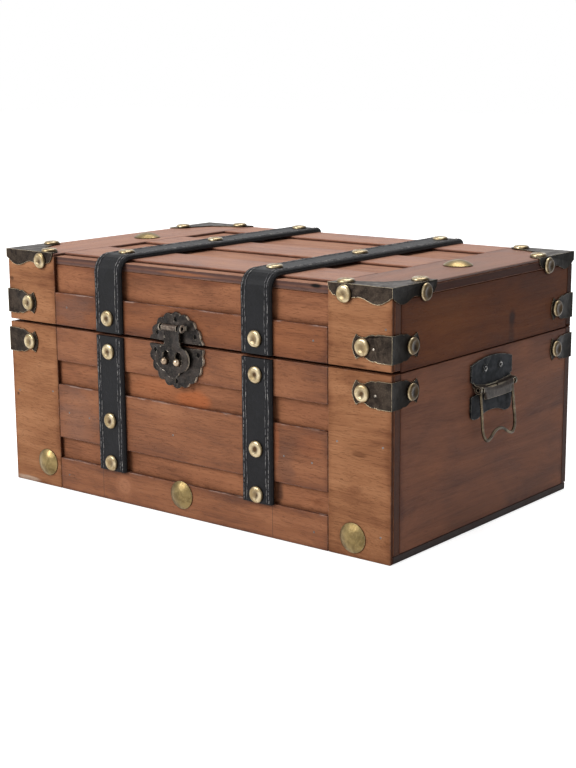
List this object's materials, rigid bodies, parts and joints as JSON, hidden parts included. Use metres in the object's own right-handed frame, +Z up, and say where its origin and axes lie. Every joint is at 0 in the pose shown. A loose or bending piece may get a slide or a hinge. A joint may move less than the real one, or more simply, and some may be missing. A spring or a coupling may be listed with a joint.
{
  "type": "storage chest",
  "caption": "Wooden storage chest with slatted front and lid, leather straps, studded metal brackets, a scalloped hasp latch and a swinging bail handle at each end.",
  "frame": {"origin": "middle of the base's underside, on the surface that the chest stands on", "axes": "+X to the chest's right-hand end as seen from the front, -Y out of the front, +Z up"},
  "size_m": [0.3154, 0.2081, 0.1557],
  "materials": {
    "stained_wood": "satin stain, worn at the edges",
    "dark_wood": "plain stained board",
    "black_leather": "smooth black, stitched along both edges",
    "brass": "tarnished",
    "dark_sheet": "dark gunmetal with worn edges",
    "aged_bronze": "dark antique bronze, worn bright on the rims"
  },
  "bodies": {
    "chest": {"front_panel": "stained_wood", "back_panel": "stained_wood", "end_panel_left": "stained_wood", "end_panel_right": "stained_wood", "front_stile_left": "stained_wood", "front_stile_right": "stained_wood", "front_board_lower": "stained_wood", "front_board_middle": "stained_wood", "front_board_upper": "stained_wood", "bottom_board": "dark_wood", "body_strap_left": "black_leather", "dome_front_left": "brass", "handle_plate_left": "dark_sheet", "hinge_leaf_lower_left": "aged_bronze", "hinge_pin_left": "aged_bronze", "body_strap_right": "black_leather", "dome_front_right": "brass", "handle_plate_right": "dark_sheet", "hinge_leaf_lower_right": "aged_bronze", "hinge_pin_right": "aged_bronze", "dome_front_middle": "brass", "body_bracket_front_left": "dark_sheet", "body_bracket_front_right": "dark_sheet", "body_bracket_back_left": "dark_sheet", "body_bracket_back_right": "dark_sheet", "latch_plate_lower": "aged_bronze"},
    "lid": {"lid_top_panel": "stained_wood", "lid_front_rail": "stained_wood", "lid_back_rail": "stained_wood", "lid_end_left": "stained_wood", "lid_end_right": "stained_wood", "lid_front_stile_left": "stained_wood", "lid_front_stile_right": "stained_wood", "lid_top_stile_left": "stained_wood", "lid_top_stile_right": "stained_wood", "lid_front_board": "stained_wood", "lid_top_board_front": "stained_wood", "lid_top_board_middle": "stained_wood", "lid_top_board_back": "stained_wood", "lid_strap_left": "black_leather", "dome_top_left": "brass", "hinge_leaf_upper_left": "aged_bronze", "lid_strap_right": "black_leather", "dome_top_right": "brass", "hinge_leaf_upper_right": "aged_bronze", "lid_bracket_front_left": "dark_sheet", "lid_corner_front_left": "dark_sheet", "lid_bracket_front_right": "dark_sheet", "lid_corner_front_right": "dark_sheet", "lid_bracket_back_left": "dark_sheet", "lid_corner_back_left": "dark_sheet", "lid_bracket_back_right": "dark_sheet", "lid_corner_back_right": "dark_sheet", "latch_plate_upper": "aged_bronze", "latch_pin": "aged_bronze"},
    "hasp": {"hasp": "aged_bronze"},
    "handle_left": {"bail_left": "aged_bronze"},
    "handle_right": {"bail_right": "aged_bronze"}
  },
  "joints": [
    {"name": "lid_hinge", "type": "hinge", "parent": "chest", "child": "lid", "pos_m": [0, 0.09975, 0.10585], "axis": [-1, 0, 0], "range_deg": [0, 170]},
    {"name": "hasp_hinge", "type": "hinge", "parent": "lid", "child": "hasp", "pos_m": [-0.0031, -0.1037, 0.11625], "axis": [-1, 0, 0], "range_deg": [0, 170]},
    {"name": "handle_right_hinge", "type": "hinge", "parent": "chest", "child": "handle_right", "pos_m": [0.1539, 0.0026, 0.0841], "axis": [0, -1, 0], "range_deg": [0, 100]},
    {"name": "handle_left_hinge", "type": "hinge", "parent": "chest", "child": "handle_left", "pos_m": [-0.1539, 0.0026, 0.0841], "axis": [0, 1, 0], "range_deg": [0, 100]}
  ]
}
